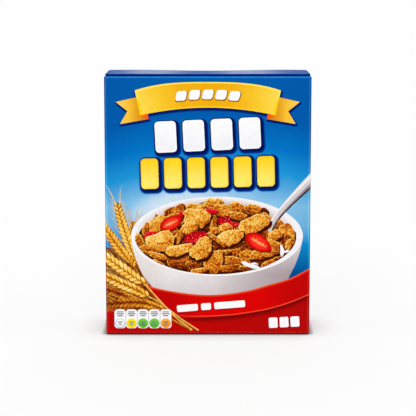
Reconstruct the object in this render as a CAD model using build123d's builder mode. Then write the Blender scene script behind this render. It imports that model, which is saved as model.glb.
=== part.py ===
"""A shut cereal carton: one blank of printed board, folded into a sleeve and closed at both ends.

The carton stands upright. X runs across the front panel, +Y points to the back, +Z is up, and
the origin is at the middle of the base. The front panel faces -Y. It cannot be seen into, so it
is one solid.
"""

from build123d import *
import math
import os

# Overall size in millimetres, at the folds.
carton_width = 165.0
carton_depth = 58.0
carton_height = 211.0

# The board and its folds.
board = 0.5
fold_radius = 1.8  # outside of the upright folds
end_fold_radius = 1.5  # outside of the folds at the top and the base

# The panels swell a little over the filling, and are straight for a short way at each end.
front_swell = 0.8
side_swell = 0.5
straight_end = 6.0
swell_stations = 7

# Each end is shut by an outer flap, which hinges at the back panel and lies over the inner
# flaps. Its three free edges stop short of the other panels and leave a slit under them.
flap_inset = 0.8
flap_corner_radius = 1.2
hinge_relief = 3.0  # the length over which the flap narrows to its hinge
slit_reach = 5.0
hinge_thickness = 3.0
hinge_drop = 2.5
top_slit = 0.7
base_slit = 0.3

# The top flap rides over the two side flaps. Its hinge sinks between them and droops at its
# ends, and its free edge stays straight.
side_flap_length = 46.0
hinge_sink = 0.8
hinge_droop = 0.2

# The glued seam: a fine groove where the back panel's cut edge meets the left side panel.
seam_width = 0.4
seam_depth = 0.3

# How near two places must be to count as the same.
fit = 0.01

# Levels and half sizes that follow.
half_width = carton_width / 2
half_depth = carton_depth / 2
hinge_half_width = half_width - fold_radius
flap_half_width = half_width - flap_inset
inner_width = carton_width - 2 * slit_reach
inner_depth = carton_depth - slit_reach
sleeve_base = board + base_slit
sleeve_top = carton_height - board - top_slit
end_height = carton_height - sleeve_top + hinge_drop + board
swell_base = sleeve_base + straight_end
swell_top = sleeve_top - straight_end


def swell_share(z):
    """How much of the full swell a level has: none at the straight ends, all of it halfway up."""
    return math.sin(math.pi * (z - swell_base) / (swell_top - swell_base)) ** 2


def panel_line(start, end, swell):
    """One panel in the sleeve's outline, bowed outwards by swell at its middle.

    A cubic curve's middle moves by three quarters of what its two inner points move.
    """
    run = Vector(*end) - Vector(*start)
    bow = Vector(run.Y, -run.X).normalized() * swell * 4 / 3
    first = Vector(*start) + run / 3 + bow
    second = Vector(*start) + run * 2 / 3 + bow
    Bezier(start, first, second, end)


def corner_arc(x, y, start_angle):
    """The rounded corner of the sleeve's outline at (x, y)."""
    centre = (x - math.copysign(fold_radius, x), y - math.copysign(fold_radius, y))
    CenterArc(centre, fold_radius, start_angle, 90)


def sleeve_outline(z, share):
    """The sleeve's section at a level, anticlockwise from the front panel's left end."""
    across = half_width - fold_radius
    along = half_depth - fold_radius
    with BuildSketch(Plane.XY.offset(z)) as outline:
        with BuildLine():
            panel_line((-across, -half_depth), (across, -half_depth), front_swell * share)
            corner_arc(half_width, -half_depth, 270)
            panel_line((half_width, -along), (half_width, along), side_swell * share)
            corner_arc(half_width, half_depth, 0)
            panel_line((across, half_depth), (-across, half_depth), front_swell * share)
            corner_arc(-half_width, half_depth, 90)
            panel_line((-half_width, along), (-half_width, -along), side_swell * share)
            corner_arc(-half_width, -half_depth, 180)
        make_face()
    return outline.sketch


def back_strip(z, width, depth):
    """A rectangle at a level, flush with the back panel."""
    with BuildSketch(Plane.XY.offset(z)) as strip:
        with Locations((0, half_depth - depth / 2)):
            Rectangle(width, depth)
    return strip.sketch


def outer_flap(z):
    """An outer flap's outline at a level: narrowed to its hinge, and rounded at its free corners."""
    free_edge = flap_inset - half_depth
    hinge_front = half_depth - hinge_thickness
    with BuildSketch(Plane.XY.offset(z)) as outline:
        with BuildLine():
            Polyline(
                (-hinge_half_width, half_depth),
                (-hinge_half_width, hinge_front),
                (-flap_half_width, hinge_front - hinge_relief),
                (-flap_half_width, free_edge),
                (flap_half_width, free_edge),
                (flap_half_width, hinge_front - hinge_relief),
                (hinge_half_width, hinge_front),
                (hinge_half_width, half_depth),
                close=True,
            )
        make_face()
        fillet(outline.vertices().group_by(Axis.Y)[0], flap_corner_radius)
    return outline.sketch


def under_flap(y, drop, sink, droop):
    """A section across the carton at y, up to the top flap's line, which is lowered by drop."""
    crest = half_width - side_flap_length / 2
    level = carton_height - drop
    base = sleeve_top - hinge_drop
    with BuildSketch(Plane.XZ.offset(-y)) as section:
        with BuildLine():
            line = Spline(
                (-half_width, level - droop),
                (-crest, level),
                (0, level - sink),
                (crest, level),
                (half_width, level - droop),
            )
            Polyline(line @ 1, (half_width, base), (-half_width, base), line @ 0)
        make_face()
    return section.sketch


def seam_groove(z):
    """The glued seam's section at a level, cut a little past the swollen back panel."""
    left_edge = fold_radius - half_width
    cut = seam_depth + front_swell
    with BuildSketch(Plane.XY.offset(z)) as groove:
        with Locations((left_edge + seam_width / 2, half_depth - seam_depth + cut / 2)):
            Rectangle(seam_width, cut)
    return groove.sketch


os.makedirs("parts", exist_ok=True)

# The space under the top flap that is cut out of it: all but the inner flaps.
with BuildPart() as top_slit_space:
    loft(
        sections=[
            under_flap(-half_depth, board, fit, fit),
            under_flap(half_depth, board, hinge_sink, hinge_droop),
        ]
    )
    inner_flaps = back_strip(sleeve_top - hinge_drop, inner_width, inner_depth)
    extrude(inner_flaps, amount=end_height, mode=Mode.SUBTRACT)
    hinge = back_strip(sleeve_top - hinge_drop, carton_width, hinge_thickness)
    extrude(hinge, amount=end_height, mode=Mode.SUBTRACT)

# The top end: the outer flap, with the slit under its three free edges.
with BuildPart() as top_end:
    loft(
        sections=[
            under_flap(-half_depth, 0, fit, fit),
            under_flap(half_depth, 0, hinge_sink, hinge_droop),
        ]
    )
    extrude(outer_flap(sleeve_top), amount=end_height, mode=Mode.INTERSECT)
    add(top_slit_space.part, mode=Mode.SUBTRACT)
    extrude(back_strip(sleeve_top, 2 * hinge_half_width, hinge_thickness), amount=-hinge_drop)

# The base end: the same, but flat, so that the carton stands on it.
with BuildPart() as base_end:
    extrude(outer_flap(0), amount=board)
    extrude(back_strip(board, inner_width, inner_depth), amount=base_slit)
    extrude(back_strip(board, 2 * hinge_half_width, hinge_thickness), amount=base_slit + hinge_drop)

with BuildPart() as carton:
    # The sleeve's panels, swollen between the straight ends.
    levels = [
        swell_base + (swell_top - swell_base) * n / (swell_stations - 1) for n in range(swell_stations)
    ]
    loft(sections=[sleeve_outline(z, swell_share(z)) for z in levels])
    extrude(sleeve_outline(swell_base, 0), amount=-straight_end)
    extrude(sleeve_outline(swell_top, 0), amount=straight_end)

    # The folds of the inner flaps.
    end_faces = carton.faces().filter_by(Plane.XY).sort_by(Axis.Z)
    fillet(end_faces[0].edges() + end_faces[-1].edges(), end_fold_radius)

    # Both ends, and the folds where they hinge at the back panel.
    add(top_end.part)
    add(base_end.part)
    back_edges = carton.edges().filter_by_position(Axis.Y, half_depth - fit, half_depth + fit)
    long_edges = back_edges.filter_by(lambda edge: edge.length > hinge_half_width).sort_by(Axis.Z)
    fillet([long_edges[0], long_edges[-1]], end_fold_radius)

    # The glued seam, beside the fold where the left side panel turns under the back panel.
    extrude(seam_groove(sleeve_base), amount=sleeve_top - sleeve_base, mode=Mode.SUBTRACT)

carton.part.label = "carton"
export_step(carton.part, "parts/carton.step")
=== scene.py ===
"""The looks of a shut cereal carton, in metres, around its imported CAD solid.

The printed board is modelled as what it is: four panels of one sleeve, which meet along their
folds, and an outer flap at each end. Each panel is a sheet whose print is cut into its mesh, so
that every field of colour is a set of faces with its own procedural ink.

Sizes below are in millimetres. On a panel's sheet, s runs across it from left to right as seen
from outside, and t runs up it, and both are measured on the flat blank.
"""

import math
import random

import bpy
import numpy as np
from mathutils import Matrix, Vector, geometry

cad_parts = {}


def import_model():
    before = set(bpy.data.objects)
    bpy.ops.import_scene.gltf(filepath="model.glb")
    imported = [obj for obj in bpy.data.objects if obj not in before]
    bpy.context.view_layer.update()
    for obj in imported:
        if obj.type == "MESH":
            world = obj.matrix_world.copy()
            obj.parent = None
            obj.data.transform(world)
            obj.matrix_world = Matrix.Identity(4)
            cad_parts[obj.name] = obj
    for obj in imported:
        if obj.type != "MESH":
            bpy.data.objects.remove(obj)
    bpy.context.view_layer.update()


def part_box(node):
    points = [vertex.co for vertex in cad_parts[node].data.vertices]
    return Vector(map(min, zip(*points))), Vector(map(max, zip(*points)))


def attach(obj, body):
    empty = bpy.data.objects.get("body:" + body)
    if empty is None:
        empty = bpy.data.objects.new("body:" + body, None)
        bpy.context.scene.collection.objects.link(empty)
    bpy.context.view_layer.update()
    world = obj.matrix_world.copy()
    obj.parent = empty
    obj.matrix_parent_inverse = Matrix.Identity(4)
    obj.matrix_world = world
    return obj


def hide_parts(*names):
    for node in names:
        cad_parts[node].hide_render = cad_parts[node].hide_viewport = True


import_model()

MM = 0.001

# ---------------------------------------------------------------- the carton, as in the CAD

board = 0.5
fold_radius = 1.8
end_fold_radius = 1.5
front_swell = 0.8
side_swell = 0.5
straight_end = 6.0
flap_inset = 0.8
flap_corner_radius = 1.2
hinge_relief = 3.0
slit_reach = 5.0
hinge_thickness = 3.0
hinge_drop = 2.5
top_slit = 0.7
base_slit = 0.3
side_flap_length = 46.0
hinge_sink = 0.8
hinge_droop = 0.2
seam_width = 0.4
seam_depth = 0.3
seam_wall = 0.03  # how far each side of the groove leans in

low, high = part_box("carton")
half_width = round((high.x / MM - side_swell) * 2) / 2
half_depth = round((high.y / MM - front_swell) * 2) / 2
carton_height = round(high.z / MM * 2) / 2

quarter_turn = math.pi / 2
sleeve_base = board + base_slit
sleeve_top = carton_height - board - top_slit
swell_base = sleeve_base + straight_end
swell_top = sleeve_top - straight_end
upright_base = sleeve_base + end_fold_radius
upright_top = sleeve_top - end_fold_radius
end_fold = end_fold_radius * quarter_turn  # an end fold's length on the flat sheet
sheet_base = upright_base - end_fold
sheet_top = upright_top + end_fold
half_fold = fold_radius * math.pi / 4  # from a panel's flat part to the middle of its fold
front_flat = half_width - fold_radius
side_flat = half_depth - fold_radius
hinge_front = half_depth - hinge_thickness
seam_middle = front_flat - seam_width / 2


class Panel:
    """One panel of the sleeve: where it stands, and how far it reaches each way."""

    def __init__(self, name, middle, along, out, flat, swell):
        self.name = name
        self.middle = Vector(middle)
        self.along = Vector(along)
        self.out = Vector(out)
        self.flat = flat
        self.swell = swell
        self.edge = flat + half_fold

    def place(self, s, t):
        """Where a point of the flat sheet lies once the carton is folded."""
        inset = 0.0
        z = t
        end = max(t - upright_top, upright_base - t)
        if end > 0:
            turn = min(end / end_fold_radius, quarter_turn)
            inset = end_fold_radius * (1 - math.cos(turn))
            rise = end_fold_radius * math.sin(turn)
            z = upright_top + rise if t > upright_top else upright_base - rise
        share = 0.0
        if swell_base < z < swell_top:
            share = math.sin(math.pi * (z - swell_base) / (swell_top - swell_base)) ** 2
        if abs(s) <= self.flat:
            across = s
            bow = self.swell * share * (1 - (s / self.flat) ** 2)
            facing = self.out
        else:
            turn = (abs(s) - self.flat) / fold_radius
            across = math.copysign(self.flat + fold_radius * math.sin(turn), s)
            bow = fold_radius * (math.cos(turn) - 1)
            facing = self.out * math.cos(turn) + self.along * math.copysign(math.sin(turn), s)
        if self.name == "back":
            bow -= seam_dip(s)
        spot = self.middle + self.along * across + self.out * bow - facing * inset
        return Vector((spot.x, spot.y, z))

    def normal(self, s, t):
        """The way a point of the folded sheet faces."""
        step = 0.01
        inner_s = min(max(s, step - self.edge), self.edge - step)
        inner_t = min(max(t, sheet_base + step), sheet_top - step)
        if self.name == "back" and abs(s - seam_middle) < seam_width:
            inner_s = seam_middle - seam_width
        across = self.place(inner_s + step, inner_t) - self.place(inner_s - step, inner_t)
        up = self.place(inner_s, inner_t + step) - self.place(inner_s, inner_t - step)
        return across.cross(up).normalized()


def seam_dip(s):
    """How deep the glued seam's groove is at s on the back panel."""
    reach = seam_width / 2 - abs(s - seam_middle)
    return seam_depth * min(max(reach / seam_wall, 0.0), 1.0)


front = Panel("front", (0, -half_depth), (1, 0), (0, -1), front_flat, front_swell)
right = Panel("right", (half_width, 0), (0, 1), (1, 0), side_flat, side_swell)
back = Panel("back", (0, half_depth), (-1, 0), (0, 1), front_flat, front_swell)
left = Panel("left", (-half_width, 0), (0, -1), (-1, 0), side_flat, side_swell)
wrap = front.edge + left.edge  # from the middle of one panel to the middle of the next

# ---------------------------------------------------------------- shapes on the flat sheet


class Shape:
    """One field of the print: its outline, its ink and the place of a point within it."""

    def __init__(self, points, ink, within=None):
        self.points = points
        self.ink = ink
        self.within = within or (lambda s, t: (0.0, 0.0, 0.5))

    def moved(self, shift):
        """The same field on the next panel's sheet, shift further to the right."""
        points = [(s + shift, t) for s, t in self.points]
        return Shape(points, self.ink, lambda s, t: self.within(s - shift, t))


def within_box(centre, half, tilt=0.0, tone=0.5):
    """Places within a tilted box: -1 to 1 along each side. The third value is the tone."""
    cos, sin = math.cos(math.radians(tilt)), math.sin(math.radians(tilt))

    def place(s, t):
        ds, dt = s - centre[0], t - centre[1]
        return ((ds * cos + dt * sin) / half[0], (dt * cos - ds * sin) / half[1], tone)

    return place


def turned(points, centre, tilt=0.0):
    """Points about the origin, tilted and moved to a centre."""
    cos, sin = math.cos(math.radians(tilt)), math.sin(math.radians(tilt))
    return [(centre[0] + x * cos - y * sin, centre[1] + x * sin + y * cos) for x, y in points]


def oval(centre, half, count=40, start=0.0, end=360.0):
    """Points on an ellipse, from one angle to another."""
    span = end - start
    steps = count if span >= 360 else count - 1
    angles = [math.radians(start + span * n / steps) for n in range(count)]
    return turned([(half[0] * math.cos(a), half[1] * math.sin(a)) for a in angles], centre)


def disc(centre, half, ink, count=26):
    """An oval field."""
    return Shape(oval(centre, half, count), ink, within_box(centre, half))


def block(centre, size, radius, tilt=0.0, corner_steps=5):
    """A rectangle with round corners."""
    across, up = size[0] / 2 - radius, size[1] / 2 - radius
    points = []
    for x, y, first in ((across, up, 0), (-across, up, 90), (-across, -up, 180), (across, -up, 270)):
        for n in range(corner_steps + 1):
            angle = math.radians(first + 90 * n / corner_steps)
            points.append((x + radius * math.cos(angle), y + radius * math.sin(angle)))
    return turned(points, centre, tilt)


def smooth(points, steps=6):
    """A smooth line through points, by Catmull and Rom's rule."""

    def passing(p, q, r, w, u):
        bend = 2 * p - 5 * q + 4 * r - w
        twist = 3 * q - p - 3 * r + w
        return 0.5 * (2 * q + (r - p) * u + bend * u**2 + twist * u**3)

    line = []
    ends = [points[0]] + list(points) + [points[-1]]
    for corners in zip(ends, ends[1:], ends[2:], ends[3:]):
        for n in range(steps):
            line.append(tuple(passing(*values, n / steps) for values in zip(*corners)))
    return line + [tuple(points[-1])]


def strip(line, widths):
    """A band along a line, whose width goes from the first of widths to the last."""
    sides = [[], []]
    for n, (x, y) in enumerate(line):
        before, after = line[max(n - 1, 0)], line[min(n + 1, len(line) - 1)]
        run = Vector((after[0] - before[0], after[1] - before[1])).normalized()
        share = n / (len(line) - 1) * (len(widths) - 1)
        first = min(int(share), len(widths) - 2)
        half = (widths[first] + (widths[first + 1] - widths[first]) * (share - first)) / 2
        sides[0].append((x - run.y * half, y + run.x * half))
        sides[1].append((x + run.y * half, y - run.x * half))
    return sides[0] + sides[1][::-1]


def within_strip(line, half, tone=0.5):
    """Places within a band: 0 to 1 along its line, and -1 to 1 across it from right to left."""
    points = [Vector(p) for p in line]
    runs = list(zip(points, points[1:]))

    def place(s, t):
        best = None
        here = Vector((s, t))
        for n, (a, b) in enumerate(runs):
            run = b - a
            share = min(max((here - a).dot(run) / run.length_squared, 0.0), 1.0)
            gap = here - (a + run * share)
            if best is None or gap.length < best[0]:
                side = run.x * gap.y - run.y * gap.x
                best = (gap.length, (n + share) / len(runs), math.copysign(gap.length / half, side))
        return (best[1], best[2], tone)

    return place


def arch(x, middle, end, half, power=2.0):
    """The height at x of an arc that is middle high at 0, and end high at half."""
    return middle - (middle - end) * abs(x / half) ** power


# ---------------------------------------------------------------- the ribbon and the title blocks

upper_arc = (205.2, 198.5, 58.1, 2.9)  # its height at the middle and the end, its reach, its power
lower_arc = (184.8, 178.6, 53.9)
ribbon_steps = 36

# The right tail and the right fold, which are mirrored at the left.
ribbon_tail = [(73.2, 189.3), (56.0, 193.2), (47.2, 175.6), (70.0, 171.7), (64.0, 181.9)]
ribbon_fold = [(54.6, 178.6), (48.0, 181.0), (46.9, 175.4), (52.0, 176.3)]


def ribbon_band(inset):
    """The ribbon's main band, drawn in from its edges by inset."""
    sides = []
    for arc, way in ((upper_arc, -1), (lower_arc, 1)):
        reach = arc[2]
        shares = [-1 + 2 * n / ribbon_steps for n in range(ribbon_steps + 1)]
        sides.append([((reach - 1.7 * inset) * k, arch(reach * k, *arc) + way * inset) for k in shares])
    return sides[0] + sides[1][::-1]


def within_ribbon(s, t):
    """Places within the band: -1 to 1 from end to end, and from its lower edge to its upper."""
    return (s / 58, (t - arch(s, 195.6, 188.2, 56)) / 10, 0.5)


def ribbon():
    """A ribbon in an arc, with a swallow tail folded behind each end, and plain blocks on it."""
    shapes = []
    for side in (-1, 1):
        across = within_box((side * 60.0, 182.5), (side * 13.0, 10.0))
        for outline, ink in ((ribbon_tail, "ribbon_tail"), (ribbon_fold, "ribbon_fold")):
            shapes.append(Shape([(side * x, z) for x, z in outline], ink, across))
    shapes.append(Shape(ribbon_band(0), "ribbon_edge", within_ribbon))
    shapes.append(Shape(ribbon_band(1.1), "ribbon", within_ribbon))
    pitch, slant = 10.6, 0.22
    for lift, grow, ink in ((-0.5, 0.9, "umber"), (0.0, 0.0, "title_rim")):
        for n in range(-2, 3):
            x = pitch * n
            centre = (x + 0.3 * grow, arch(x, 195.3, 193.8, 24) + lift)
            size = (8.4 + grow, 7.6 + grow)
            slanted = [(a + slant * b, b) for a, b in block((0, 0), size, 1.9)]
            tilt = -2.0 * n
            shapes.append(Shape(turned(slanted, centre, tilt), ink, within_box(centre, size, tilt)))
    return shapes


# The rows of plain blocks in the title's place: their middles, size, tilt and colour.
title_rows = [
    ([(-46.5 + 18.6 * n, 131.8 + 0.4 * n) for n in range(6)], (14.0, 24.5), 1.5, "yellow"),
    ([(-33.6 + 22.4 * n, 161.4 + 1.0 * n) for n in range(4)], (17.0, 25.0), 2.7, "white"),
]


def title_blocks(centres, size, tilt, colour):
    """A row of plain equal blocks where the title would be, with a dark outline."""
    radius, rim, outline = 3.0, 2.0, 2.4
    rows = ([], [], [])
    for x, z in centres:
        spot = within_box((x, z), (size[0] / 2, size[1] / 2), tilt)
        around = block((x + 0.5, z - 0.6), (size[0] + outline, size[1] + outline), radius + 1.0, tilt)
        face = block((x, z), (size[0] - rim, size[1] - rim), radius - 0.8, tilt)
        rows[0].append(Shape(around, "navy"))
        rows[1].append(Shape(block((x, z), size, radius, tilt), colour + "_rim", spot))
        rows[2].append(Shape(face, colour, spot))
    return rows[0] + rows[1] + rows[2]


# ---------------------------------------------------------------- the bowl and what is in it

rim_centre, rim_half = (7.4, 80.9), (69.2, 32.4)
inner_centre, inner_half = (6.3, 81.3), (65.2, 31.5)


def bowl_outside():
    """The bowl's outside, up to the middle of its rim."""
    side = [(-61.8, 81.0), (-60.8, 72.0), (-57.3, 60.5), (-52.6, 49.9), (-45.3, 40.0), (-34.0, 31.0)]
    foot = [(9.0, 27.0), (46.0, 30.0), (62.0, 42.0)]
    rise = [(66.3, 49.0), (68.3, 53.3), (70.6, 57.8), (74.4, 69.0), (76.6, 81.0)]
    return Shape(smooth(side + foot + rise, 4), "bowl", within_box((7.4, 60.0), (69.0, 22.0)))


def bowl_front():
    """The outside again, from the heap's near edge down, over what the bowl holds."""
    outside = bowl_outside()
    inner = oval(inner_centre, inner_half, 50, 180, 360)
    return Shape(outside.points + inner[::-1], "bowl", outside.within)


def bowl_rim():
    """The rim, and the inner wall behind the heap."""
    return [disc(rim_centre, rim_half, "rim", 72), disc(inner_centre, inner_half, "bowl_wall", 72)]


def bowl_lip():
    """The near half of the rim, which lies over the heap's edge."""
    outer = oval(rim_centre, rim_half, 40, 178, 362)
    inner = oval(inner_centre, inner_half, 40, 178, 362)
    return Shape(outer + inner[::-1], "rim", within_box(rim_centre, rim_half))


def heap_floor():
    """The dark space under the flakes."""
    crest = [(-57.0, 80.0), (-53.5, 87.0), (-46.0, 92.5), (-33.0, 96.5), (-26.0, 102.5), (-14.0, 104.0)]
    crest += [(0.0, 110.0), (13.0, 107.0), (27.0, 106.0), (41.0, 103.0), (50.0, 96.5), (60.0, 90.5)]
    crest += [(68.5, 87.0), (70.5, 80.0)]
    return Shape(smooth(crest, 3) + oval(inner_centre, inner_half, 30, 356, 184), "gap")


def crinkled(half, draw, count=30):
    """A flake's outline about the origin, with waves and small crinkles drawn from draw."""
    waves = [(2, 0.06), (3, 0.08), (5, 0.05), (8, 0.035), (13, 0.03)]
    phases = [draw.uniform(0, 2 * math.pi) for _ in waves]
    squareness = draw.uniform(2.1, 3.2)
    points = []
    for n in range(count):
        angle = 2 * math.pi * n / count
        cos, sin = abs(math.cos(angle)), abs(math.sin(angle))
        reach = (cos**squareness + sin**squareness) ** (-1 / squareness)
        reach += sum(size * math.cos(k * angle + p) for (k, size), p in zip(waves, phases))
        reach += draw.uniform(-0.035, 0.035)
        points.append((half[0] * reach * math.cos(angle), half[1] * reach * math.sin(angle)))
    return points


def flakes(rows, draw):
    """Flakes from rows of (s, t, width, height, tilt, tone), the farthest first.

    Each is the shade and the gap that it leaves below it, its pale rim and its crinkled face.
    """
    rim = 0.5
    shapes = []
    for s, t, width, height, tilt, tone in rows:
        half = (width / 2, height / 2)
        outline = crinkled(half, draw)
        face = [(x * (1 - rim / half[0]), y * (1 - rim / half[1])) for x, y in outline]
        shadow = [(x * 1.08, y * 1.08) for x, y in outline]
        spot = within_box((s, t), half, tilt, tone)
        shapes += [
            Shape(turned(shadow, (s + 0.9, t - 2.6), tilt), "flake_shade"),
            Shape(turned(shadow, (s + 0.6, t - 1.5), tilt), "gap"),
            Shape(turned(outline, (s, t), tilt), "flake_rim", spot),
            Shape(turned(face, (s + 0.3, t - 0.4), tilt), "flake", spot),
        ]
    return shapes


# Flakes listed one by one, from the far side of the bowl to the near side.
far_flakes = [
    (-22, 103, 10, 9, 60, 0.35),
    (-12, 103, 12, 9, 10, 0.60),
    (-3, 104, 12, 9, 30, 0.65),
    (5, 108, 13, 9, 0, 0.65),
    (13, 102, 16, 11, -20, 0.60),
    (24, 104, 14, 9, -10, 0.55),
    (36, 103, 14, 8, -15, 0.50),
    (46, 96, 12, 7, -30, 0.45),
    (-49.5, 86, 6, 14, -12, 0.35),
    (-31, 96, 15, 4, 32, 0.50),
    (-39, 91, 17, 12, 20, 0.60),
]
middle_flakes = [
    (-9, 96, 22, 15, -10, 0.75),
    (24, 98, 15, 6, -8, 0.55),
    (-15, 88, 15, 9, 15, 0.60),
    (5, 92, 10, 5, 75, 0.40),
    (8, 86, 14, 5, 10, 0.45),
]
side_flakes = [
    (36, 90, 25, 14, 25, 0.75),
    (15, 88, 10, 7, -10, 0.65),
    (59, 90, 9, 6, -50, 0.30),
    (64, 85, 14, 10, 120, 0.60),
    (18, 80, 20, 13, 20, 0.85),
    (8, 78, 18, 4, -35, 0.55),
    (62, 78, 9, 13, 20, 0.35),
    (54, 82, 12, 8, 15, 0.60),
    (-55, 78, 11, 6, -60, 0.50),
    (-24, 80, 13, 6, 65, 0.50),
    (-38, 77, 23, 15, 18, 0.80),
    (-46, 69, 17, 8, -22, 0.45),
]
near_flakes = [
    (20, 66, 19, 8, 5, 0.40),
    (14, 68, 10, 4, 10, 0.55),
    (53, 72, 14, 11, -20, 0.40),
    (66, 75, 11, 6, 60, 0.60),
    (34, 63, 17, 11, -40, 0.40),
    (20, 61, 18, 7, -5, 0.45),
    (45, 67, 23, 8, 12, 0.60),
    (-40, 65, 15, 5, -15, 0.55),
    (-25, 60, 17, 10, -15, 0.25),
    (-11, 58, 13, 8, 15, 0.25),
    (-23, 70, 22, 9, 15, 0.80),
    (5, 60, 15, 19, -15, 0.62),
    (-5, 71, 22, 13, 52, 0.75),
    (-40, 59, 12, 4, -25, 0.50),
    (51, 60, 17, 5, 24, 0.35),
    (18, 55, 17, 6, 5, 0.25),
    (30, 55, 10, 4, -5, 0.30),
    (-7, 53, 14, 4, 5, 0.60),
]


def loose_flakes(draw):
    """Browner flakes strewn over the whole heap, under the listed ones."""
    shapes = []
    rows, columns = 8, 11
    for row in range(rows):
        level = inner_centre[1] + inner_half[1] * (0.72 - 1.62 * ((row + 0.5) / rows))
        lift = (level - inner_centre[1]) / inner_half[1]
        reach = (inner_half[0] * math.sqrt(max(1 - lift**2, 0.05)) - 5) * (1 - 0.3 * max(lift, 0.0))
        for column in range(columns):
            s = inner_centre[0] + reach * (-1 + 2 * (column + draw.uniform(0.2, 0.8)) / columns)
            width, height = draw.uniform(9, 16), draw.uniform(5, 9)
            tone = draw.uniform(0.0, 0.4)
            t = level + draw.uniform(-1.5, 1.5)
            shapes += flakes([(s, t, width, height, draw.uniform(-50, 50), tone)], draw)
    return shapes


def berry(centre, size, tilt, tone=0.5, ink="berry_skin"):
    """A berry's side, or a slice of one with its point at the right, over a dark gap."""
    half = (size[0] / 2, size[1] / 2)
    if ink == "berry_slice":
        egg = oval((0, 0), half, 30)
        outline = [(x + 0.05 * x * math.cos(4 * y / half[1]), y * (1 - 0.14 * x / half[0])) for x, y in egg]
    else:
        outline = [(x, y * (1 - 0.22 * x / half[0])) for x, y in oval((0, 0), half, 28)]
    below = turned(outline, (centre[0] + 0.3, centre[1] - 0.7), tilt)
    spot = within_box(centre, half, tilt, tone)
    return [Shape(below, "gap"), Shape(turned(outline, centre, tilt), ink, spot)]


def milk():
    """Two splashes of milk between the flakes at the right."""
    shapes = []
    splashes = (
        ([(58.6, 74.2), (60.0, 69.6), (59.4, 64.4)], [0.6, 2.6, 3.8, 0.6]),
        ([(59.6, 67.6), (62.6, 68.4), (65.8, 69.2)], [2.4, 1.2, 2.2, 0.5]),
        ([(27.2, 60.2), (33.0, 57.4), (42.0, 55.0)], [0.8, 3.4, 3.0, 3.6, 0.8]),
        ([(33.4, 57.6), (37.6, 58.9), (40.8, 57.8)], [1.6, 1.4, 0.5]),
    )
    for points, widths in splashes:
        line = smooth(points, 4)
        shapes.append(Shape(strip(line, widths), "milk", within_strip(line, 2.0)))
    return shapes


def spoon():
    """A spoon's handle, from its bowl in the heap up over the fold."""
    points = [(49.8, 84.0), (51.2, 90.6), (56.2, 98.4), (64.0, 107.6)]
    points += [(76.0, 120.1), (92.0, 136.0), (104.0, 147.0)]
    line = smooth(points, 5)
    widths = [1.2, 4.8, 4.2, 5.2, 7.2, 9.2, 4.0]
    shade = [(s + 0.9, t - 0.8) for s, t in line]
    return [
        Shape(strip(shade, widths), "spoon_edge"),
        Shape(strip(line, widths), "spoon", within_strip(line, 4.5)),
    ]


def bowl_with_flakes():
    """The whole bowl, from its outside to the lip over the heap."""
    draw = random.Random(11)
    shapes = [bowl_outside()] + bowl_rim() + [heap_floor()] + loose_flakes(draw)
    shapes += flakes(far_flakes, draw)
    shapes += berry((-20.5, 99.0), (10, 4), 22) + berry((3.0, 101.3), (11, 4.4), -5, 0.7)
    shapes += berry((-29.6, 91.7), (19, 11), 28, ink="berry_slice")
    shapes += berry((16.5, 93.5), (20, 9), 175, 0.35)
    shapes += flakes(middle_flakes, draw)
    shapes += berry((-10.4, 80.3), (21.5, 9), 187)
    shapes += berry((-46.0, 82.0), (12, 5.5), 20, 0.6)
    shapes += spoon() + flakes(side_flakes + near_flakes, draw)
    shapes += berry((40.8, 76.0), (23, 13), -32, ink="berry_slice")
    return shapes + milk() + [bowl_front(), bowl_lip()]


# ---------------------------------------------------------------- the wheat

kernel_outline = [(-1, 0), (-0.8, 0.5), (-0.4, 0.9), (0.05, 1), (0.5, 0.8), (0.85, 0.35), (1.15, 0)]


def kernel(centre, length, width, tilt, tone):
    """One kernel of wheat, pointed at its tip, on the dark edge that it leaves round itself."""
    upper = [(x * length / 2, y * width / 2) for x, y in kernel_outline]
    outline = upper + [(x, -y) for x, y in upper[-2:0:-1]]
    edge = [(x * 1.08, y * 1.3) for x, y in outline]
    lit_side = 1 if math.cos(math.radians(tilt - 30)) > 0 else -1
    spot = within_box(centre, (length / 2, lit_side * width / 2), tilt, tone)
    below = (centre[0] + 0.15, centre[1] - 0.3)
    return [Shape(turned(edge, below, tilt), "husk"), Shape(turned(outline, centre, tilt), "kernel", spot)]


def along_line(line, distance):
    """The point at a distance along a line, and which way the line runs there."""
    for a, b in zip(line, line[1:]):
        run = (b - a).length
        if distance <= run or b is line[-1]:
            return a + (b - a) * distance / run, (b - a).normalized()
        distance -= run


def awn(start, run, side, tone, draw, splay):
    """A thin hair from a kernel, which bends away from the ear."""
    reach = draw.uniform(9, 20)
    way = run + side * (splay + draw.uniform(-0.12, 0.14))
    hair = [tuple(start + way * reach * k + side * 0.6 * k * k) for k in (0.0, 0.4, 0.7, 1.0)]
    return Shape(strip(hair, [0.34, 0.3, 0.22, 0.06]), "awn", within_strip(hair, 0.3, tone + 0.1))


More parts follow.
